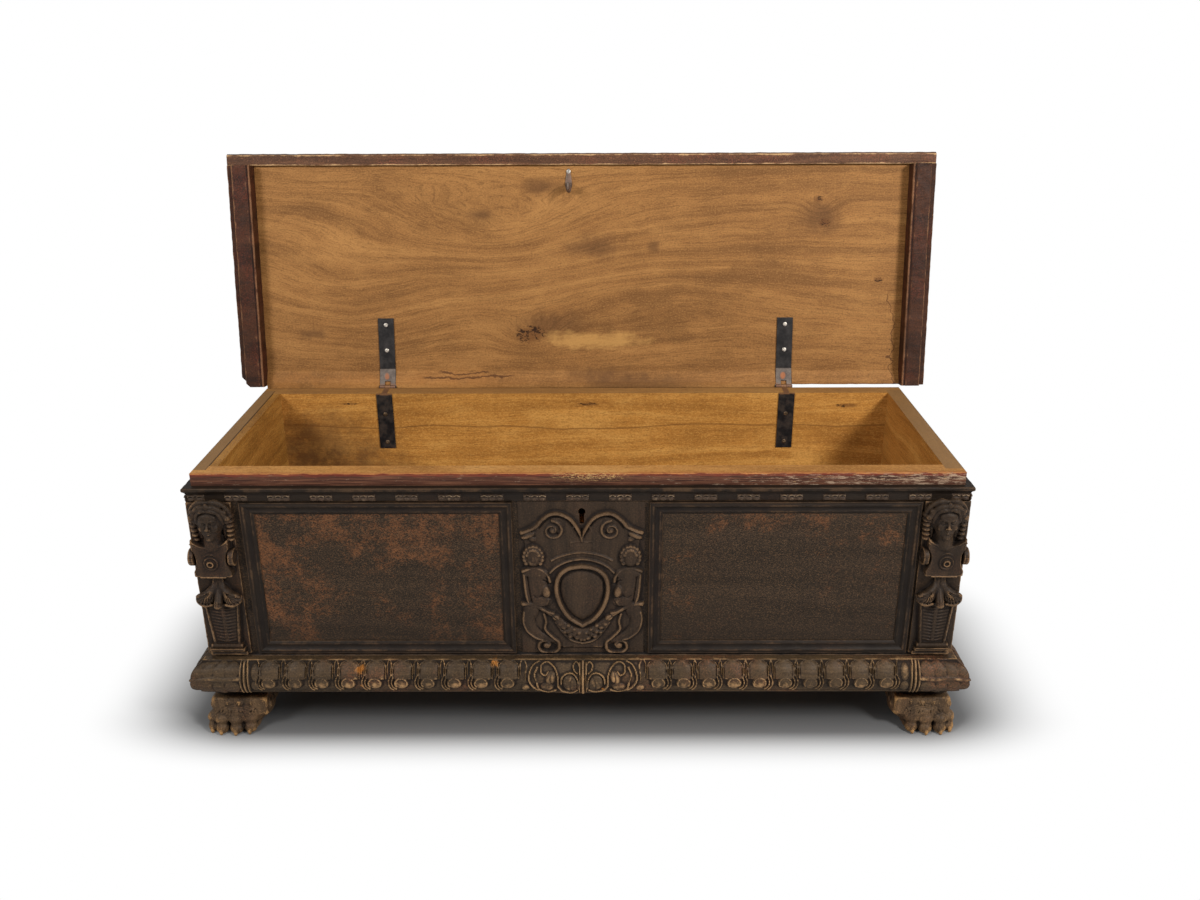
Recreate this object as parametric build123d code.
"""A cassone: a carved walnut marriage chest on lion paws, its lid standing open on two strap hinges.

Millimetres. +X is to the right of someone facing the chest, +Y is to its back, +Z is up.
While it is built, Y = 0 is the outer face of the front board. The finished chest is moved along Y
so that its origin lies under the middle of its bounding box, on the floor.
"""
from build123d import *
from math import cos, radians, sin
import os

# ---------------------------------------------------------------- driving dimensions
# carcass
CHEST_WIDTH = 1545.0
CHEST_DEPTH = 532.0
CHEST_HEIGHT = 620.0
FRONT_BOARD_THICKNESS = 40.0
BACK_BOARD_THICKNESS = 40.0
LEFT_BOARD_THICKNESS = 26.0
LEFT_LINING_THICKNESS = 18.0
RIGHT_BOARD_THICKNESS = 36.0
CORNER_REBATE = 20.0
FLOOR_THICKNESS = 20.0
FLOOR_ABOVE_EDGE = 22.0
FLOOR_GROOVE = 8.0
FLOOR_PLANKS = ("front", "middle", "back")

# feet
PAW_HEIGHT = 95.0
PAW_WIDTH = 116.0
PAW_LENGTH = 128.0
PAW_FRONT = -8.0
PAW_OVERHANG = 34.0
FOOT_BLOCK_HEIGHT = 28.0
FOOT_BLOCK_MARGIN = 6.0
TOE_COUNT = 4
TOE_GROOVE_DEPTH = 9.0

# gadrooned base moulding and the fillet above it
GADROON_HEIGHT = 80.0
GADROON_BULGE = 46.0
GADROON_FOOT = 26.0
GADROON_LIP = 20.0
FILLET_HEIGHT = 9.0
FILLET_PROJECTION = 10.0

# cornice under the rim
RIM_FASCIA = 26.0
CORNICE_PROJECTION = 16.0
CORNICE_NOSE = 8.0
CORNICE_COVE = 6.0
FRIEZE_HEIGHT = 18.0
FRIEZE_PROJECTION = 9.0
FRIEZE_BLOCK_PITCH = 85.3
FRIEZE_BLOCK_WIDTH = 46.0
FRIEZE_BLOCK_HEIGHT = 14.0
FRIEZE_BLOCK_PROJECTION = 5.0
FRIEZE_CORNER_REACH = 27.8
FRIEZE_DROPS = 3
FRIEZE_DROP_GAP = 2.0
FRIEZE_DROP_LENGTH = 8.0

# panels
PANEL_THICKNESS = 6.0
FRAME_WIDTH = 28.0
FRAME_THICKNESS = 9.0
FRAME_MARGIN = 12.0
LEFT_FIELD_MARGINS = (15.5, 12.0)
RIGHT_FIELD_MARGINS = (9.0, 5.5)
CARTOUCHE_WIDTH = 255.0
CARTOUCHE_CENTRE = 7.5
CARTOUCHE_THICKNESS = 9.0
CARVING_DEPTH = 15.0
SHIELD_HEIGHTS = {"tip": 0.2, "waist": 0.38, "top": 0.61}
WING_DROP = 4.0

# herm pilasters at the two front corners
HERM_WIDTH = 91.0
HERM_FRONT_THICKNESS = 12.0
HERM_SIDE_THICKNESS = 13.0
HERM_RETURN = 60.0
HERM_HEAD_RADIUS = 29.0
HERM_HEAD_BELOW_TOP = 39.0
HERM_BUST_HEIGHT = 66.0
HERM_BUST_HALF_WIDTH = 34.0
HERM_BUST_DEPTH = 14.0
HERM_BOSS_RADIUS = 13.0
HERM_BOSS_DEPTH = 22.0
HERM_LEAF_HEIGHT = 66.0
HERM_LEAF_HALF_WIDTH = 40.0
HERM_LEAF_DEPTHS = (12.0, 20.0)
HERM_SHAFT_HALF_WIDTHS = (33.0, 28.0)
HERM_SHAFT_DEPTH = 8.0

# lid
LID_OPEN_ANGLE = 99.7
LID_PLANK_THICKNESS = 24.0
LID_RAISE = 12.0
LID_FRONT_OVERHANG = 12.0
LID_BACK_OVERHANG = 6.0
LID_FRONT_MOULDING = 27.0
CLEAT_WIDTH = 59.5
CLEAT_DROP = 37.0
CLEAT_CLEARANCE = 2.0
CLEAT_STEP = 16.0
REAR_FILLET_WIDTH = 35.0
REAR_FILLET_FLAT = 8.0

# strap hinges
HINGE_LEFT_X = -478.0
HINGE_RIGHT_X = 493.0
STRAP_WIDTH = 38.0
STRAP_THICKNESS = 3.0
CHEST_LEAF_LENGTH = 140.0
LID_LEAF_LENGTH = 124.0
CRANK_LENGTH = 43.0
BARREL_RADIUS = 5.0
BARREL_STANDOFF = 10.0
TONGUE_WIDTH = 13.0
KNUCKLE_GAP = 0.5
LET_IN_CLEARANCE = 0.2
CHEST_SCREWS_BELOW_RIM = (52.0, 124.0)
LID_SCREWS_FROM_CRANK = (46.0, 108.0)
FORK_DEPTH = 14.0
PIN_RADIUS = 2.5
PIN_HEAD_RADIUS = 4.0
PIN_HEAD = 1.5
PIN_CLEARANCE = 0.05

# lock
KEYHOLE_X = 8.0
KEYHOLE_WIDTH = 13.0
KEYHOLE_TOP = 548.0
KEYHOLE_HEIGHT = 36.0
LOCK_LEFT = -60.0
LOCK_WIDTH = 130.0
LOCK_DEPTH = 44.0
LOCK_TOP_BELOW_RIM = 20.0
LOCK_HEIGHT = 114.0
LOCK_WALL = 2.5
LOCK_EAR = 12.0
LOCK_EAR_HEIGHT = 30.0
BOLT_SIZE = 8.0
BOLT_LENGTH = 84.5
BOLT_TRAVEL = 20.0
BOLT_CLEARANCE = 0.3
BOLT_BELOW_LOCK_TOP = 9.0
TALON_DROP = 15.0
TALON_WIDTH = 16.0
TALON_NOTCH = 6.0
GUIDE_THICKNESS = 3.0
SPRING_THICKNESS = 1.2
KEY_POST_RADIUS = 2.5
STAPLE_X = -30.0
STAPLE_THICKNESS = 6.0
STAPLE_WIDTH = 18.0
STAPLE_PLATE_LENGTH = 52.0
STAPLE_PLATE_WIDTH = 20.0
STAPLE_TIP = 3.5
STAPLE_SLOT_CLEARANCE = 3.0
STAPLE_TO_BOLT = 2.5
EYE_CLEARANCE = 1.5
BOLT_HEAD_BEYOND_GUIDE = 5.5
GUIDE_WALL = 3.0
SPRING_LENGTH = 44.0
SPRING_WIDTH = 6.0
TILL_PIVOT_RADIUS = 3.5
TILL_PIVOT_DEPTH = 10.0
TILL_PIVOT_FROM_FRONT = 30.0
TILL_PIVOT_BELOW_RIM = 22.0

# nails and screws
SHANK_RADIUS = 2.0
HEAD_RADIUS = 4.5
HEAD_HEIGHT = 2.0
HOLE_CLEARANCE = 0.05
SHANK_HOLE = SHANK_RADIUS + HOLE_CLEARANCE
CARCASS_NAIL_LENGTH = 60.0
HINGE_SCREW_LENGTH = 24.0
LOCK_NAIL_LENGTH = 22.0
LID_NAIL_BITE = 32.0
STAPLE_NAIL_LENGTH = 18.0
SEAT_GAP = 0.3

# ---------------------------------------------------------------- places worked out from them
HALF = CHEST_WIDTH / 2
RIM_Z = CHEST_HEIGHT
EDGE_Z = PAW_HEIGHT + FOOT_BLOCK_HEIGHT
FLOOR_Z = EDGE_Z + FLOOR_ABOVE_EDGE
GADROON_TOP = EDGE_Z + GADROON_HEIGHT
ZONE_BOTTOM = GADROON_TOP + FILLET_HEIGHT
LEDGE_Z = RIM_Z - RIM_FASCIA
FRIEZE_TOP = LEDGE_Z - CORNICE_NOSE - CORNICE_COVE
ZONE_TOP = FRIEZE_TOP - FRIEZE_HEIGHT
FRIEZE_BLOCK_LOW = ZONE_TOP + (FRIEZE_HEIGHT - FRIEZE_BLOCK_HEIGHT) / 2
FRIEZE_BLOCK_HIGH = FRIEZE_BLOCK_LOW + FRIEZE_BLOCK_HEIGHT
LEFT_INSIDE = -HALF + LEFT_BOARD_THICKNESS + LEFT_LINING_THICKNESS
RIGHT_INSIDE = HALF - RIGHT_BOARD_THICKNESS
BACK_INSIDE = CHEST_DEPTH - BACK_BOARD_THICKNESS
HERM_OUTSIDE = HALF + HERM_SIDE_THICKNESS
HERM_INSIDE = HERM_OUTSIDE - HERM_WIDTH
CARTOUCHE_LEFT = CARTOUCHE_CENTRE - CARTOUCHE_WIDTH / 2
CARTOUCHE_RIGHT = CARTOUCHE_CENTRE + CARTOUCHE_WIDTH / 2

PIVOT_Y = CHEST_DEPTH + BARREL_STANDOFF
PIVOT_Z = RIM_Z
LID_UNDER_Z = RIM_Z + LID_RAISE
LID_TOP_Z = LID_UNDER_Z + LID_PLANK_THICKNESS
LID_BACK_Y = CHEST_DEPTH + LID_BACK_OVERHANG
LID_FRONT_Y = -LID_FRONT_OVERHANG
CLEAT_INSIDE = HALF + CLEAT_CLEARANCE
CLEAT_OUTSIDE = CLEAT_INSIDE + CLEAT_WIDTH
CLEAT_BOTTOM = LID_UNDER_Z - CLEAT_DROP
CRANK_START_Y = PIVOT_Y - CRANK_LENGTH
LID_NAIL_LENGTH = CLEAT_WIDTH + LID_NAIL_BITE
LID_SCREW_TIP_Z = LID_UNDER_Z + LID_PLANK_THICKNESS * 0.7

LOCK_TOP = RIM_Z - LOCK_TOP_BELOW_RIM
LOCK_RIGHT = LOCK_LEFT + LOCK_WIDTH
LOCK_BACK = FRONT_BOARD_THICKNESS + LOCK_DEPTH
BOLT_TOP = LOCK_TOP - BOLT_BELOW_LOCK_TOP
BOLT_BOTTOM = BOLT_TOP - BOLT_SIZE
BOLT_Y = FRONT_BOARD_THICKNESS + LOCK_DEPTH / 2 + 3
BOLT_TIP_X = STAPLE_X + STAPLE_THICKNESS / 2 + STAPLE_TO_BOLT
STAPLE_BOTTOM = BOLT_BOTTOM - EYE_CLEARANCE - STAPLE_TIP
GUIDE_LEFT_X = BOLT_TIP_X + 0.5
GUIDE_RIGHT_X = BOLT_TIP_X + BOLT_LENGTH - BOLT_TRAVEL - BOLT_HEAD_BEYOND_GUIDE - GUIDE_THICKNESS
TALON_LEFT_X = KEYHOLE_X - TALON_WIDTH / 2 + 2

SIDES = {"left": -1, "right": 1}
HINGE_X = {"left": HINGE_LEFT_X, "right": HINGE_RIGHT_X}
PARTS = {}
LID_PARTS = []


# ---------------------------------------------------------------- helpers
def block(x_low, x_high, y_low, y_high, z_low, z_high):
    """A box from its lowest to its highest corner."""
    middle = ((x_low + x_high) / 2, (y_low + y_high) / 2, (z_low + z_high) / 2)
    return Pos(*middle) * Box(x_high - x_low, y_high - y_low, z_high - z_low)


def prism_x(points, x_low, x_high):
    """An outline of (y, z) points, carried along X."""
    face = make_face(Polyline(*points, close=True))
    return extrude(Plane.YZ.offset(x_low) * face, x_high - x_low)


def prism_y(points, y_low, y_high):
    """An outline of (x, z) points, carried along Y."""
    plane = Plane(origin=(0, y_high, 0), x_dir=(1, 0, 0), z_dir=(0, -1, 0))
    face = make_face(Polyline(*points, close=True))
    return extrude(plane * face, y_high - y_low)


def prism_z(points, z_low, z_high):
    """An outline of (x, y) points, carried along Z."""
    face = make_face(Polyline(*points, close=True))
    return extrude(Plane.XY.offset(z_low) * face, z_high - z_low)


def rod_x(radius, x_low, x_high, y, z):
    """A round bar along X."""
    return Pos((x_low + x_high) / 2, y, z) * Rot(0, 90, 0) * Cylinder(radius, x_high - x_low)


def rod_y(radius, y_low, y_high, x, z):
    """A round bar along Y."""
    return Pos(x, (y_low + y_high) / 2, z) * Rot(90, 0, 0) * Cylinder(radius, y_high - y_low)


def rod_z(radius, z_low, z_high, x, y):
    """A round bar along Z."""
    return Pos(x, y, (z_low + z_high) / 2) * Cylinder(radius, z_high - z_low)


def mirrored(shape):
    """The same shape on the other side of the chest's middle plane."""
    return mirror(shape, about=Plane.YZ)


def on_side(side, shape_on_right):
    """A shape drawn for the right side, put on the side asked for."""
    if side == "right":
        return shape_on_right
    return mirrored(shape_on_right)


def add(name, *solids, lid=False):
    """Keep a piece, or a group of like pieces, under its name."""
    found = [solid for shape in solids for solid in shape.solids()]
    PARTS[name] = found
    if lid:
        LID_PARTS.append(name)


# ---------------------------------------------------------------- carcass
def hinge_let_in(x):
    """The notch in the back board's top edge for one hinge's tongue."""
    side_gap = TONGUE_WIDTH / 2 + LET_IN_CLEARANCE
    return block(
        x - side_gap, x + side_gap, BACK_INSIDE, CHEST_DEPTH, RIM_Z - STRAP_THICKNESS, RIM_Z
    )


def floor_groove():
    """The space that the bottom planks take, grooves included."""
    return block(
        -HALF + LEFT_BOARD_THICKNESS - FLOOR_GROOVE,
        HALF - RIGHT_BOARD_THICKNESS + FLOOR_GROOVE,
        FRONT_BOARD_THICKNESS - FLOOR_GROOVE,
        BACK_INSIDE + FLOOR_GROOVE,
        FLOOR_Z,
        FLOOR_Z + FLOOR_THICKNESS,
    )


def corner_boards(y_low, y_high):
    """The two side boards, with their ends in the rebates of the front and back boards."""
    left = block(-HALF, -HALF + LEFT_BOARD_THICKNESS, y_low, y_high, EDGE_Z, RIM_Z)
    right = block(HALF - RIGHT_BOARD_THICKNESS, HALF, y_low, y_high, EDGE_Z, RIM_Z)
    return left, right


def carcass_nail_places():
    """Where the back board is nailed to the side boards: (x, z) pairs."""
    columns = (-HALF + LEFT_BOARD_THICKNESS / 2, HALF - RIGHT_BOARD_THICKNESS / 2)
    rows = [EDGE_Z + (RIM_Z - EDGE_Z) * share for share in (0.08, 0.29, 0.5, 0.71, 0.92)]
    return [(x, z) for x in columns for z in rows]


def chest_screw_places():
    """Where the chest's hinge leaves are screwed on: (x, z) pairs."""
    return [(x, RIM_Z - drop) for x in HINGE_X.values() for drop in CHEST_SCREWS_BELOW_RIM]


def lock_nail_places():
    """Where the lock's ears are nailed on: (x, z) pairs."""
    middle = LOCK_TOP - LOCK_HEIGHT / 2
    return [(LOCK_LEFT - LOCK_EAR / 2, middle), (LOCK_RIGHT + LOCK_EAR / 2, middle)]


def make_carcass():
    left_board, right_board = corner_boards(CORNER_REBATE, CHEST_DEPTH - CORNER_REBATE)
    groove = floor_groove()

    front = block(-HALF, HALF, 0, FRONT_BOARD_THICKNESS, EDGE_Z, RIM_Z)
    front -= left_board
    front -= right_board
    front -= groove
    front -= keyhole(0, FRONT_BOARD_THICKNESS)
    for x, z in lock_nail_places():
        front -= rod_y(SHANK_HOLE, FRONT_BOARD_THICKNESS - LOCK_NAIL_LENGTH, FRONT_BOARD_THICKNESS, x, z)
    add("front_board", front)

    back = block(-HALF, HALF, BACK_INSIDE, CHEST_DEPTH, EDGE_Z, RIM_Z)
    back -= left_board
    back -= right_board
    back -= groove
    for x in HINGE_X.values():
        back -= hinge_let_in(x)
    for x, z in chest_screw_places():
        back -= rod_y(SHANK_HOLE, BACK_INSIDE, BACK_INSIDE + HINGE_SCREW_LENGTH, x, z)
    nails = []
    for x, z in carcass_nail_places():
        hole = rod_y(SHANK_HOLE, CHEST_DEPTH - CARCASS_NAIL_LENGTH, CHEST_DEPTH, x, z)
        back -= hole
        left_board -= hole
        right_board -= hole
        shank = rod_y(SHANK_RADIUS, CHEST_DEPTH - CARCASS_NAIL_LENGTH, CHEST_DEPTH, x, z)
        nails.append(shank + rod_y(HEAD_RADIUS, CHEST_DEPTH, CHEST_DEPTH + HEAD_HEIGHT, x, z))
    add("back_board", back)
    add("left_side_board", left_board - groove)
    add("right_side_board", right_board - groove)
    add("carcass_nails", *nails)

    lining = block(
        -HALF + LEFT_BOARD_THICKNESS,
        LEFT_INSIDE,
        FRONT_BOARD_THICKNESS,
        BACK_INSIDE,
        FLOOR_Z + FLOOR_THICKNESS,
        RIM_Z,
    )
    till_y = FRONT_BOARD_THICKNESS + TILL_PIVOT_FROM_FRONT
    till_z = RIM_Z - TILL_PIVOT_BELOW_RIM
    till_pivot = rod_x(TILL_PIVOT_RADIUS, LEFT_INSIDE - TILL_PIVOT_DEPTH, LEFT_INSIDE, till_y, till_z)
    add("left_side_lining", lining - till_pivot)


def make_floor():
    planks = floor_groove()
    box = planks.bounding_box()
    width = (box.max.Y - box.min.Y) / len(FLOOR_PLANKS)
    for index, place in enumerate(FLOOR_PLANKS):
        y_low = box.min.Y + index * width
        plank = block(box.min.X, box.max.X, y_low, y_low + width, box.min.Z, box.max.Z)
        add("bottom_plank_" + place, plank)


# ---------------------------------------------------------------- mouldings round three sides
def front_mitre(reach):
    """The footprint of a moulding across the front, mitred at both ends."""
    outline = [(-HALF, 0), (-HALF - reach, -reach), (HALF + reach, -reach), (HALF, 0)]
    return prism_z(outline, 0, RIM_Z)


def side_mitre(reach):
    """The footprint of a moulding along the right side, mitred at its front end."""
    outline = [(HALF, 0), (HALF + reach, -reach), (HALF + reach, CHEST_DEPTH), (HALF, CHEST_DEPTH)]
    return prism_z(outline, 0, RIM_Z)


def run_round(name, profile, reach):
    """A moulding in three mitred lengths. Its profile is a face of (outward, up) distances."""
    along_front = Plane(origin=(-HALF - reach, 0, 0), x_dir=(0, -1, 0), z_dir=(-1, 0, 0))
    front = extrude(along_front * profile, -(CHEST_WIDTH + 2 * reach))
    along_side = Plane(origin=(HALF, -reach, 0), x_dir=(1, 0, 0), z_dir=(0, -1, 0))
    side = extrude(along_side * profile, -(CHEST_DEPTH + reach))
    side = side & side_mitre(reach)
    add(name + "_front", front & front_mitre(reach))
    add(name + "_left", mirrored(side))
    add(name + "_right", side)


def cornice_profile():
    nose_z = LEDGE_Z - CORNICE_NOSE
    cove_end = (FRIEZE_PROJECTION + 1, FRIEZE_TOP)
    edges = [
        Polyline(
            (FRIEZE_PROJECTION, FRIEZE_TOP),
            (FRIEZE_PROJECTION, ZONE_TOP),
            (0, ZONE_TOP),
            (0, LEDGE_Z),
            (CORNICE_PROJECTION, LEDGE_Z),
            (CORNICE_PROJECTION, nose_z),
        ),
        RadiusArc((CORNICE_PROJECTION, nose_z), cove_end, CORNICE_COVE * 1.2),
        Line(cove_end, (FRIEZE_PROJECTION, FRIEZE_TOP)),
    ]
    return make_face(edges)


def gadroon_profile():
    bulge_z = EDGE_Z + GADROON_HEIGHT * 0.55
    edges = [
        Polyline(
            (GADROON_LIP, GADROON_TOP), (0, GADROON_TOP), (0, EDGE_Z), (GADROON_FOOT, EDGE_Z)
        ),
        Spline(
            (GADROON_FOOT, EDGE_Z),
            (GADROON_BULGE, bulge_z),
            (GADROON_LIP, GADROON_TOP),
            tangents=((0.9, 0.45), (-1, 0.45)),
        ),
    ]
    return make_face(edges)


def make_base_fillet():
    """Three mitred lengths of the plain fillet in the shadow over the gadroons."""
    reach = FILLET_PROJECTION
    front = block(-HALF - reach, HALF + reach, -reach, 0, GADROON_TOP, ZONE_BOTTOM) & front_mitre(reach)
    side = block(HALF, HALF + reach, -reach, CHEST_DEPTH, GADROON_TOP, ZONE_BOTTOM) & side_mitre(reach)
    add("base_fillet", front, side, mirrored(side))


def frieze_block(x):
    """One block of drops on the front frieze."""
    y_face = -FRIEZE_PROJECTION
    y_front = y_face - FRIEZE_BLOCK_PROJECTION
    x_low = x - FRIEZE_BLOCK_WIDTH / 2
    shape = block(x_low, x_low + FRIEZE_BLOCK_WIDTH, y_front, y_face, FRIEZE_BLOCK_LOW, FRIEZE_BLOCK_HIGH)
    half_gap = FRIEZE_DROP_GAP / 2
    drop_top = FRIEZE_BLOCK_LOW + FRIEZE_DROP_LENGTH
    for index in range(1, FRIEZE_DROPS):
        x_gap = x_low + FRIEZE_BLOCK_WIDTH * index / FRIEZE_DROPS
        shape -= block(x_gap - half_gap, x_gap + half_gap, y_front, y_face, FRIEZE_BLOCK_LOW, drop_top)
    return shape


def frieze_corner_block():
    """The block that wraps round the right front corner of the frieze."""
    x_low, y_high = HALF - FRIEZE_CORNER_REACH, FRIEZE_BLOCK_WIDTH
    near, far = FRIEZE_PROJECTION, FRIEZE_PROJECTION + FRIEZE_BLOCK_PROJECTION
    outer = block(x_low, HALF + far, -far, y_high, FRIEZE_BLOCK_LOW, FRIEZE_BLOCK_HIGH)
    return outer - block(x_low, HALF + near, -near, y_high, FRIEZE_BLOCK_LOW, FRIEZE_BLOCK_HIGH)


def make_frieze_blocks():
    corner_x = HALF - FRIEZE_CORNER_REACH + FRIEZE_BLOCK_WIDTH / 2
    per_side = round(corner_x / FRIEZE_BLOCK_PITCH)
    pitch = corner_x / per_side
    blocks = [frieze_block(i * pitch) for i in range(1 - per_side, per_side)]
    corner = frieze_corner_block()
    blocks += [corner, mirrored(corner)]
    first = frieze_block(0)
    along = int((CHEST_DEPTH - FRIEZE_BLOCK_WIDTH) // FRIEZE_BLOCK_PITCH) + 1
    for index in range(1, along):
        y = FRIEZE_BLOCK_WIDTH / 2 + index * FRIEZE_BLOCK_PITCH
        turned = Pos(HALF, y, 0) * Rot(0, 0, 90) * first
        blocks += [turned, mirrored(turned)]
    add("frieze_blocks", *blocks)


# ---------------------------------------------------------------- panels
def frame_section(inner_edge):
    """The stepped section of a panel moulding: (across, outward) from its outer edge."""
    return [
        (0, 0),
        (0, FRAME_THICKNESS),
        (inner_edge * 0.32, FRAME_THICKNESS),
        (inner_edge * 0.40, FRAME_THICKNESS * 0.72),
        (inner_edge * 0.72, FRAME_THICKNESS * 0.45),
        (inner_edge * 0.80, FRAME_THICKNESS * 0.60),
        (inner_edge, FRAME_THICKNESS * 0.60),
        (inner_edge, 0),
    ]


def frame_lengths(x_low, x_high, z_low, z_high):
    """The four mitred lengths of a panel moulding on the front, as a dict by place."""
    width = FRAME_WIDTH
    face_y = -PANEL_THICKNESS
    section = frame_section(width)
    y_out = face_y - FRAME_THICKNESS
    bottom = prism_x([(face_y - up, z_low + across) for across, up in section], x_low, x_high)
    top = prism_x([(face_y - up, z_high - across) for across, up in section], x_low, x_high)
    left = prism_z([(x_low + across, face_y - up) for across, up in section], z_low, z_high)
    right = prism_z([(x_high - across, face_y - up) for across, up in section], z_low, z_high)
    inner_left, inner_right = x_low + width, x_high - width
    inner_low, inner_high = z_low + width, z_high - width
    keep = {
        "bottom": [(x_low, z_low), (x_high, z_low), (inner_right, inner_low), (inner_left, inner_low)],
        "top": [(x_low, z_high), (inner_left, inner_high), (inner_right, inner_high), (x_high, z_high)],
        "left": [(x_low, z_low), (inner_left, inner_low), (inner_left, inner_high), (x_low, z_high)],
        "right": [(x_high, z_low), (x_high, z_high), (inner_right, inner_high), (inner_right, inner_low)],
    }
    lengths = {"bottom": bottom, "top": top, "left": left, "right": right}
    return {place: lengths[place] & prism_y(keep[place], y_out, face_y) for place in lengths}


def make_front_panel(side, x_low, x_high, margins):
    panel = block(x_low, x_high, -PANEL_THICKNESS, 0, ZONE_BOTTOM, ZONE_TOP)
    add(side + "_field_panel", panel)
    lengths = frame_lengths(x_low + margins[0], x_high - margins[1], ZONE_BOTTOM, ZONE_TOP)
    for place, length in lengths.items():
        add(f"{side}_panel_moulding_{place}", length)


def make_end_panel(side):
    """The framed panel on one end of the chest, from the herm's return to the back."""
    panel = block(HALF, HALF + PANEL_THICKNESS, HERM_RETURN, CHEST_DEPTH, ZONE_BOTTOM, ZONE_TOP)
    add(side + "_end_panel", on_side(side, panel))
    lengths = frame_lengths(HERM_RETURN + FRAME_MARGIN, CHEST_DEPTH, ZONE_BOTTOM, ZONE_TOP)
    turned = [Pos(HALF, 0, 0) * Rot(0, 0, 90) * length for length in lengths.values()]
    add(side + "_end_moulding", *[on_side(side, length) for length in turned])


# ---------------------------------------------------------------- carving, as plain masses
def keyhole(y_low, y_high):
    """The keyhole, from one depth to another."""
    return block(
        KEYHOLE_X - KEYHOLE_WIDTH / 2,
        KEYHOLE_X + KEYHOLE_WIDTH / 2,
        y_low,
        y_high,
        KEYHOLE_TOP - KEYHOLE_HEIGHT,
        KEYHOLE_TOP,
    )


def make_cartouche():
    """The middle board: a blank shield between volutes, over a swag."""
    ground_y = -CARTOUCHE_THICKNESS
    face_y = ground_y - CARVING_DEPTH
    height = ZONE_TOP - ZONE_BOTTOM
    shape = block(CARTOUCHE_LEFT, CARTOUCHE_RIGHT, ground_y, 0, ZONE_BOTTOM, ZONE_TOP)

    shield_half = CARTOUCHE_WIDTH * 0.24
    shield_top = ZONE_BOTTOM + height * SHIELD_HEIGHTS["top"]
    shield_waist = ZONE_BOTTOM + height * SHIELD_HEIGHTS["waist"]
    shield_tip = ZONE_BOTTOM + height * SHIELD_HEIGHTS["tip"]
    shield = [
        (CARTOUCHE_CENTRE - shield_half, shield_waist),
        (CARTOUCHE_CENTRE - shield_half * 0.55, shield_tip + 14),
        (CARTOUCHE_CENTRE, shield_tip),
        (CARTOUCHE_CENTRE + shield_half * 0.55, shield_tip + 14),
        (CARTOUCHE_CENTRE + shield_half, shield_waist),
        (CARTOUCHE_CENTRE + shield_half * 0.9, shield_top - 16),
        (CARTOUCHE_CENTRE + shield_half * 0.5, shield_top),
        (CARTOUCHE_CENTRE - shield_half * 0.5, shield_top),
        (CARTOUCHE_CENTRE - shield_half * 0.9, shield_top - 16),
    ]
    shape += prism_y(shield, face_y, ground_y)

    volute = CARTOUCHE_WIDTH * 0.075
    upper_z = ZONE_BOTTOM + height * 0.83
    lower_z = ZONE_BOTTOM + height * 0.07
    for sign in (-1, 1):
        upper_x = CARTOUCHE_CENTRE + sign * CARTOUCHE_WIDTH * 0.24
        lower_x = CARTOUCHE_CENTRE + sign * CARTOUCHE_WIDTH * 0.31
        shape += rod_y(volute * 1.3, face_y + WING_DROP, ground_y, upper_x, upper_z)
        shape += rod_y(volute, face_y + WING_DROP, ground_y, lower_x, lower_z)
        wing = [
            (CARTOUCHE_CENTRE + sign * CARTOUCHE_WIDTH * 0.33, ZONE_BOTTOM + height * 0.22),
            (CARTOUCHE_CENTRE + sign * CARTOUCHE_WIDTH * 0.48, ZONE_BOTTOM + height * 0.30),
            (CARTOUCHE_CENTRE + sign * CARTOUCHE_WIDTH * 0.48, ZONE_BOTTOM + height * 0.70),
            (CARTOUCHE_CENTRE + sign * CARTOUCHE_WIDTH * 0.33, ZONE_BOTTOM + height * 0.60),
        ]
        shape += prism_y(wing, face_y + WING_DROP, ground_y)
    shape -= keyhole(face_y, 0)
    add("cartouche_panel", shape)


def make_herm(side):
    """A corner pilaster: a head over a bossed bust, a leaf and a tapering shaft."""
    middle = (HERM_INSIDE + HERM_OUTSIDE) / 2
    ground_y = -HERM_FRONT_THICKNESS
    shape = block(HERM_INSIDE, HERM_OUTSIDE, ground_y, 0, ZONE_BOTTOM, ZONE_TOP)
    shape += block(HALF, HERM_OUTSIDE, 0, HERM_RETURN, ZONE_BOTTOM, ZONE_TOP)

    head_z = ZONE_TOP - HERM_HEAD_BELOW_TOP
    bust_top = head_z - HERM_HEAD_RADIUS + 4
    bust_bottom = bust_top - HERM_BUST_HEIGHT
    leaf_bottom = bust_bottom - HERM_LEAF_HEIGHT
    in_front = block(HERM_INSIDE, HERM_OUTSIDE, ground_y - HERM_HEAD_RADIUS, 0, ZONE_BOTTOM, ZONE_TOP)
    shape += (Pos(middle, ground_y + 3, head_z) * Sphere(HERM_HEAD_RADIUS)) & in_front
    left, right = middle - HERM_BUST_HALF_WIDTH, middle + HERM_BUST_HALF_WIDTH
    bust_y = ground_y - HERM_BUST_DEPTH
    shape += block(left, right, bust_y, ground_y, bust_bottom, bust_top)
    boss_z = (bust_top + bust_bottom) / 2
    shape += rod_y(HERM_BOSS_RADIUS, ground_y - HERM_BOSS_DEPTH, bust_y, middle, boss_z)
    leaf = [
        (ground_y, bust_bottom),
        (ground_y - HERM_LEAF_DEPTHS[0], bust_bottom),
        (ground_y - HERM_LEAF_DEPTHS[1], leaf_bottom),
        (ground_y, leaf_bottom),
    ]
    shape += prism_x(leaf, middle - HERM_LEAF_HALF_WIDTH, middle + HERM_LEAF_HALF_WIDTH)
    top_half, foot_half = HERM_SHAFT_HALF_WIDTHS
    shaft = [
        (middle - top_half, leaf_bottom),
        (middle - foot_half, ZONE_BOTTOM),
        (middle + foot_half, ZONE_BOTTOM),
        (middle + top_half, leaf_bottom),
    ]
    shape += prism_y(shaft, ground_y - HERM_SHAFT_DEPTH, ground_y)
    add(side + "_herm_pilaster", on_side(side, shape))


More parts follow.
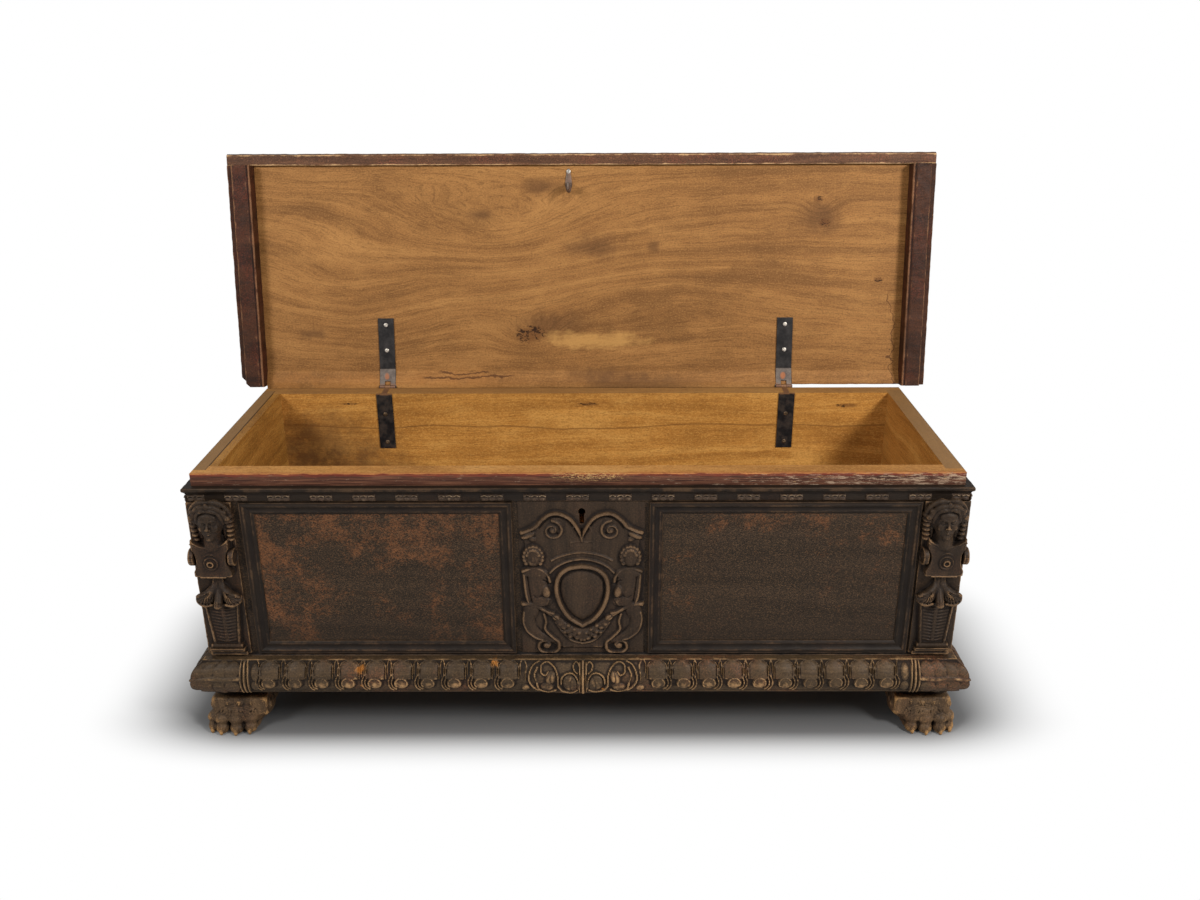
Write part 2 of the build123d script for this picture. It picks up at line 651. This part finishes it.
# ---------------------------------------------------------------- feet
def paw(x_middle, y_front):
    """A lion's paw with its sole on the floor and its toes to the front."""
    length, height = PAW_LENGTH, PAW_HEIGHT
    low, high = x_middle - PAW_WIDTH / 2, x_middle + PAW_WIDTH / 2
    side_view = [
        (y_front + 4, 0),
        (y_front, 8),
        (y_front + 2, 28),
        (y_front + 14, height * 0.52),
        (y_front + 26, height * 0.80),
        (y_front + 34, height),
        (y_front + length - 14, height),
        (y_front + length, height * 0.7),
        (y_front + length, 0),
    ]
    shape = prism_x(side_view, low, high)
    for index in range(1, TOE_COUNT):
        x = low + PAW_WIDTH * index / TOE_COUNT
        groove = [(x - 5, y_front - 1), (x + 5, y_front - 1), (x, y_front + TOE_GROOVE_DEPTH)]
        shape -= prism_z(groove, 0, height * 0.6)
    return shape


def make_feet():
    middle = HALF + PAW_OVERHANG - PAW_WIDTH / 2
    foot_inside = middle - PAW_WIDTH / 2 + FOOT_BLOCK_MARGIN
    foot_outside = middle + PAW_WIDTH / 2 - FOOT_BLOCK_MARGIN
    fronts = {"front": PAW_FRONT, "back": CHEST_DEPTH - PAW_LENGTH}
    blocks = []
    for place, y_front in fronts.items():
        y_low = max(y_front + 30, 0)
        y_high = min(y_front + PAW_LENGTH - 6, CHEST_DEPTH)
        foot = block(foot_inside, foot_outside, y_low, y_high, PAW_HEIGHT, EDGE_Z)
        for side in SIDES:
            add(f"{place}_{side}_paw", on_side(side, paw(middle, y_front)))
            blocks.append(on_side(side, foot))
    add("foot_blocks", *blocks)


# ---------------------------------------------------------------- hinges
def crank():
    """The sloping stretch between the lid leaf and its knuckles, as (y, z) points."""
    leaf_z = LID_UNDER_Z - STRAP_THICKNESS
    half = STRAP_THICKNESS / 2
    return [
        (CRANK_START_Y, LID_UNDER_Z),
        (CRANK_START_Y, leaf_z),
        (PIVOT_Y, PIVOT_Z - half),
        (PIVOT_Y, PIVOT_Z + half),
    ]


def lid_screw_places():
    """Where the lid's hinge leaves are screwed on: (x, y) pairs on the closed lid."""
    return [(x, CRANK_START_Y - length) for x in HINGE_X.values() for length in LID_SCREWS_FROM_CRANK]


def make_hinge(side):
    x = HINGE_X[side]
    half = STRAP_WIDTH / 2
    tongue = TONGUE_WIDTH / 2
    bore = PIN_RADIUS + PIN_CLEARANCE
    leaf_face = BACK_INSIDE - STRAP_THICKNESS

    chest_leaf = block(x - half, x + half, leaf_face, BACK_INSIDE, RIM_Z - CHEST_LEAF_LENGTH, RIM_Z)
    chest_leaf += block(x - tongue, x + tongue, leaf_face, PIVOT_Y, RIM_Z - STRAP_THICKNESS, RIM_Z)
    chest_leaf += rod_x(BARREL_RADIUS, x - tongue, x + tongue, PIVOT_Y, PIVOT_Z)
    chest_leaf -= rod_x(bore, x - half, x + half, PIVOT_Y, PIVOT_Z)

    leaf_z = LID_UNDER_Z - STRAP_THICKNESS
    leaf_front = CRANK_START_Y - LID_LEAF_LENGTH
    lid_leaf = block(x - half, x + half, leaf_front, CRANK_START_Y, leaf_z, LID_UNDER_Z)
    lid_leaf += prism_x(crank(), x - half, x + half)
    lid_leaf += rod_x(BARREL_RADIUS, x - half, x + half, PIVOT_Y, PIVOT_Z)
    gap = tongue + KNUCKLE_GAP
    fork_y = PIVOT_Y - FORK_DEPTH
    lid_leaf -= block(
        x - gap, x + gap, fork_y, PIVOT_Y + BARREL_RADIUS, PIVOT_Z - BARREL_RADIUS, LID_UNDER_Z
    )
    lid_leaf -= rod_x(bore, x - half, x + half, PIVOT_Y, PIVOT_Z)

    pin = rod_x(PIN_RADIUS, x - half - KNUCKLE_GAP, x + half + KNUCKLE_GAP, PIVOT_Y, PIVOT_Z)
    for sign in (-1, 1):
        inner = x + sign * (half + KNUCKLE_GAP)
        outer = inner + sign * PIN_HEAD
        pin += rod_x(PIN_HEAD_RADIUS, min(inner, outer), max(inner, outer), PIVOT_Y, PIVOT_Z)

    for screw_x, z in chest_screw_places():
        chest_leaf -= rod_y(SHANK_HOLE, leaf_face, BACK_INSIDE, screw_x, z)
    for screw_x, y in lid_screw_places():
        lid_leaf -= rod_z(SHANK_HOLE, leaf_z, LID_UNDER_Z, screw_x, y)
    add(side + "_hinge_chest_leaf", chest_leaf)
    add(side + "_hinge_lid_leaf", lid_leaf, lid=True)
    add(side + "_hinge_pin", pin)


def make_hinge_screws():
    head_y = BACK_INSIDE - STRAP_THICKNESS
    screws = []
    for x, z in chest_screw_places():
        shank = rod_y(SHANK_RADIUS, head_y, BACK_INSIDE + HINGE_SCREW_LENGTH, x, z)
        screws.append(shank + rod_y(HEAD_RADIUS, head_y - HEAD_HEIGHT, head_y, x, z))
    add("hinge_chest_screws", *screws)

    head_z = LID_UNDER_Z - STRAP_THICKNESS
    screws = []
    for x, y in lid_screw_places():
        shank = rod_z(SHANK_RADIUS, head_z, LID_SCREW_TIP_Z, x, y)
        screws.append(shank + rod_z(HEAD_RADIUS, head_z - HEAD_HEIGHT, head_z, x, y))
    add("hinge_lid_screws", *screws, lid=True)


# ---------------------------------------------------------------- lock
def bolt_guide(x_low):
    """A plate hanging from the lock's top, with a square hole for the bolt."""
    half = BOLT_SIZE / 2 + BOLT_CLEARANCE
    plate = block(
        x_low,
        x_low + GUIDE_THICKNESS,
        BOLT_Y - half - GUIDE_WALL,
        LOCK_BACK - LOCK_WALL,
        BOLT_BOTTOM - BOLT_CLEARANCE - GUIDE_WALL,
        LOCK_TOP - LOCK_WALL,
    )
    hole = block(
        x_low,
        x_low + GUIDE_THICKNESS,
        BOLT_Y - half,
        BOLT_Y + half,
        BOLT_BOTTOM - BOLT_CLEARANCE,
        BOLT_TOP + BOLT_CLEARANCE,
    )
    return plate - hole


def make_lock():
    front_y = FRONT_BOARD_THICKNESS
    bottom = LOCK_TOP - LOCK_HEIGHT
    case = block(LOCK_LEFT, LOCK_RIGHT, front_y, LOCK_BACK, bottom, LOCK_TOP)
    case -= block(
        LOCK_LEFT + LOCK_WALL,
        LOCK_RIGHT - LOCK_WALL,
        front_y,
        LOCK_BACK - LOCK_WALL,
        bottom + LOCK_WALL,
        LOCK_TOP - LOCK_WALL,
    )
    slot_x = STAPLE_THICKNESS / 2 + STAPLE_SLOT_CLEARANCE
    slot_y = STAPLE_WIDTH / 2 + STAPLE_SLOT_CLEARANCE
    slot_z = LOCK_TOP - LOCK_WALL
    case -= block(STAPLE_X - slot_x, STAPLE_X + slot_x, BOLT_Y - slot_y, BOLT_Y + slot_y, slot_z, LOCK_TOP)
    case += bolt_guide(GUIDE_LEFT_X)
    case += bolt_guide(GUIDE_RIGHT_X)
    ear_z = LOCK_TOP - LOCK_HEIGHT / 2
    ear_low, ear_high = ear_z - LOCK_EAR_HEIGHT / 2, ear_z + LOCK_EAR_HEIGHT / 2
    ear_back = front_y + LOCK_WALL
    case += block(LOCK_LEFT - LOCK_EAR, LOCK_LEFT, front_y, ear_back, ear_low, ear_high)
    case += block(LOCK_RIGHT, LOCK_RIGHT + LOCK_EAR, front_y, ear_back, ear_low, ear_high)
    post_z = KEYHOLE_TOP - KEYHOLE_WIDTH / 2
    case -= rod_y(KEY_POST_RADIUS + HOLE_CLEARANCE, LOCK_BACK - LOCK_WALL, LOCK_BACK, KEYHOLE_X, post_z)
    nails = []
    for x, z in lock_nail_places():
        case -= rod_y(SHANK_HOLE, front_y, ear_back, x, z)
        shank = rod_y(SHANK_RADIUS, front_y - LOCK_NAIL_LENGTH, ear_back, x, z)
        nails.append(shank + rod_y(HEAD_RADIUS, ear_back, ear_back + HEAD_HEIGHT, x, z))
    add("lock_case", case)
    add("lock_nails", *nails)

    post = rod_y(KEY_POST_RADIUS, front_y - 12, LOCK_BACK, KEYHOLE_X, post_z)
    post += rod_y(KEY_POST_RADIUS * 2, LOCK_BACK, LOCK_BACK + HEAD_HEIGHT, KEYHOLE_X, post_z)
    add("lock_key_post", post)

    half = BOLT_SIZE / 2
    bolt = block(BOLT_TIP_X, BOLT_TIP_X + BOLT_LENGTH, BOLT_Y - half, BOLT_Y + half, BOLT_BOTTOM, BOLT_TOP)
    talon_low = BOLT_BOTTOM - TALON_DROP
    talon_right = TALON_LEFT_X + TALON_WIDTH
    bolt += block(TALON_LEFT_X, talon_right, BOLT_Y - half, BOLT_Y + half, talon_low, BOLT_BOTTOM)
    notch_low = TALON_LEFT_X + (TALON_WIDTH - TALON_NOTCH) / 2
    notch_high = notch_low + TALON_NOTCH
    bolt -= block(notch_low, notch_high, BOLT_Y - half, BOLT_Y + half, talon_low, talon_low + TALON_NOTCH)
    add("lock_bolt", bolt)

    low_z = BOLT_TOP + BOLT_CLEARANCE
    high_z = LOCK_TOP - LOCK_WALL
    end_x = GUIDE_RIGHT_X
    y_low, y_high = BOLT_Y - SPRING_WIDTH / 2, BOLT_Y + SPRING_WIDTH / 2
    spring = block(end_x - SPRING_LENGTH, end_x, y_low, y_high, low_z, low_z + SPRING_THICKNESS)
    spring += block(end_x - SPRING_THICKNESS, end_x, y_low, y_high, low_z, high_z)
    add("lock_spring", spring)


# ---------------------------------------------------------------- lid, drawn closed
def lid_nail_places():
    """Where the cleats are nailed to the ends of the lid plank: y of each nail."""
    length = LID_BACK_Y - LID_FRONT_Y
    return [LID_FRONT_Y + length * share for share in (0.14, 0.32, 0.5, 0.68, 0.86)]


def staple_nail_y():
    """The nail at the front end of the staple's plate."""
    return BOLT_Y + STAPLE_WIDTH / 2 - STAPLE_PLATE_LENGTH + 8


def make_lid_boards():
    plank_front = LID_FRONT_Y + LID_FRONT_MOULDING
    plank_middle_z = LID_UNDER_Z + LID_PLANK_THICKNESS / 2
    plank = block(-CLEAT_INSIDE, CLEAT_INSIDE, plank_front, LID_BACK_Y, LID_UNDER_Z, LID_TOP_Z)
    for x, y in lid_screw_places():
        plank -= rod_z(SHANK_HOLE, LID_UNDER_Z, LID_SCREW_TIP_Z, x, y)
    plank -= rod_z(SHANK_HOLE, LID_UNDER_Z, LID_UNDER_Z + STAPLE_NAIL_LENGTH, STAPLE_X, staple_nail_y())

    step_x = CLEAT_OUTSIDE - CLEAT_STEP
    step_z = CLEAT_BOTTOM + CLEAT_STEP
    section = [
        (CLEAT_INSIDE, CLEAT_BOTTOM),
        (step_x, CLEAT_BOTTOM),
        (step_x, step_z),
        (CLEAT_OUTSIDE, step_z + 5),
        (CLEAT_OUTSIDE, LID_TOP_Z - 6),
        (CLEAT_OUTSIDE - 6, LID_TOP_Z),
        (CLEAT_INSIDE, LID_TOP_Z),
    ]
    cleat = prism_y(section, plank_front, LID_BACK_Y)
    nails = []
    for y in lid_nail_places():
        hole = rod_x(SHANK_HOLE, CLEAT_OUTSIDE - LID_NAIL_LENGTH, CLEAT_OUTSIDE, y, plank_middle_z)
        cleat -= hole
        plank -= hole
        plank -= mirrored(hole)
        nail = rod_x(SHANK_RADIUS, CLEAT_OUTSIDE - LID_NAIL_LENGTH, CLEAT_OUTSIDE, y, plank_middle_z)
        nail += rod_x(HEAD_RADIUS, CLEAT_OUTSIDE, CLEAT_OUTSIDE + HEAD_HEIGHT, y, plank_middle_z)
        nails += [nail, mirrored(nail)]
    add("lid_plank", plank, lid=True)
    add("lid_left_cleat", mirrored(cleat), lid=True)
    add("lid_right_cleat", cleat, lid=True)
    add("lid_nails", *nails, lid=True)

    lip = LID_FRONT_Y
    seat_z = RIM_Z + SEAT_GAP
    front_section = [
        (lip + LID_FRONT_MOULDING, seat_z),
        (lip + 3, seat_z),
        (lip + 3, seat_z + 5),
        (lip, seat_z + 8),
        (lip, LID_TOP_Z - 6),
        (lip + 6, LID_TOP_Z),
        (lip + LID_FRONT_MOULDING, LID_TOP_Z),
    ]
    add("lid_front_moulding", prism_x(front_section, -CLEAT_OUTSIDE, CLEAT_OUTSIDE), lid=True)


def make_lid_rear_fillet():
    """The sloped strip under the lid's back edge, let in for the hinge straps."""
    thin_y = LID_BACK_Y - REAR_FILLET_WIDTH
    low_z = RIM_Z + SEAT_GAP
    section = [
        (thin_y, LID_UNDER_Z),
        (LID_BACK_Y, LID_UNDER_Z),
        (LID_BACK_Y, low_z),
        (LID_BACK_Y - REAR_FILLET_FLAT, low_z),
    ]
    fillet = prism_x(section, -CLEAT_INSIDE, CLEAT_INSIDE)
    under_strap = crank()[:1] + [
        (CRANK_START_Y, low_z - 5), (PIVOT_Y, low_z - 5), (PIVOT_Y, PIVOT_Z + STRAP_THICKNESS / 2)
    ]
    half = STRAP_WIDTH / 2 + KNUCKLE_GAP
    for x in HINGE_X.values():
        fillet -= prism_x(under_strap, x - half, x + half)
        reach = half + PIN_HEAD + 1
        fillet -= rod_x(BARREL_RADIUS + 1.5, x - reach, x + reach, PIVOT_Y, PIVOT_Z)
    add("lid_rear_fillet", fillet, lid=True)


def make_staple():
    """The plate under the lid whose loop drops into the lock and takes the bolt."""
    plate_back = BOLT_Y + STAPLE_WIDTH / 2
    plate_front = plate_back - STAPLE_PLATE_LENGTH
    plate_z = LID_UNDER_Z - STRAP_THICKNESS
    half = STAPLE_PLATE_WIDTH / 2
    shape = block(STAPLE_X - half, STAPLE_X + half, plate_front, plate_back, plate_z, LID_UNDER_Z)
    shape += block(
        STAPLE_X - STAPLE_THICKNESS / 2,
        STAPLE_X + STAPLE_THICKNESS / 2,
        BOLT_Y - STAPLE_WIDTH / 2,
        BOLT_Y + STAPLE_WIDTH / 2,
        STAPLE_BOTTOM,
        plate_z,
    )
    eye = BOLT_SIZE / 2 + EYE_CLEARANCE
    shape -= block(
        STAPLE_X - STAPLE_THICKNESS / 2,
        STAPLE_X + STAPLE_THICKNESS / 2,
        BOLT_Y - eye,
        BOLT_Y + eye,
        BOLT_BOTTOM - EYE_CLEARANCE,
        BOLT_TOP + EYE_CLEARANCE,
    )
    nail_y = staple_nail_y()
    shape -= rod_z(SHANK_HOLE, plate_z, LID_UNDER_Z, STAPLE_X, nail_y)
    add("lid_staple", shape, lid=True)
    nail = rod_z(SHANK_RADIUS, plate_z, LID_UNDER_Z + STAPLE_NAIL_LENGTH, STAPLE_X, nail_y)
    nail += rod_z(HEAD_RADIUS, plate_z - HEAD_HEIGHT, plate_z, STAPLE_X, nail_y)
    add("lid_staple_nail", nail, lid=True)


# ---------------------------------------------------------------- build, open the lid, write
def open_lid():
    """Turn every lid piece about the hinge pins, from shut to standing open."""
    pivot = Axis((0, PIVOT_Y, PIVOT_Z), (-1, 0, 0))
    for name in LID_PARTS:
        PARTS[name] = [solid.rotate(pivot, LID_OPEN_ANGLE) for solid in PARTS[name]]


def build():
    make_carcass()
    make_floor()
    run_round("cornice", cornice_profile(), CORNICE_PROJECTION)
    make_frieze_blocks()
    run_round("gadroon", gadroon_profile(), GADROON_BULGE)
    make_base_fillet()
    make_front_panel("left", -HERM_INSIDE, CARTOUCHE_LEFT, LEFT_FIELD_MARGINS)
    make_front_panel("right", CARTOUCHE_RIGHT, HERM_INSIDE, RIGHT_FIELD_MARGINS)
    make_cartouche()
    for side in SIDES:
        make_herm(side)
        make_end_panel(side)
        make_hinge(side)
    make_feet()
    make_hinge_screws()
    make_lock()
    make_lid_boards()
    make_lid_rear_fillet()
    make_staple()
    open_lid()


build()
WHOLE = Compound([solid for solids in PARTS.values() for solid in solids]).bounding_box()
ORIGIN_Y = (WHOLE.min.Y + WHOLE.max.Y) / 2
os.makedirs("parts", exist_ok=True)
for part_name, solids in PARTS.items():
    placed = [Pos(0, -ORIGIN_Y, 0) * solid for solid in solids]
    shape = placed[0] if len(placed) == 1 else Compound(placed)
    export_step(shape, f"parts/{part_name}.step")
print(len(PARTS), "nodes; origin moved back by", round(ORIGIN_Y, 3), "mm")
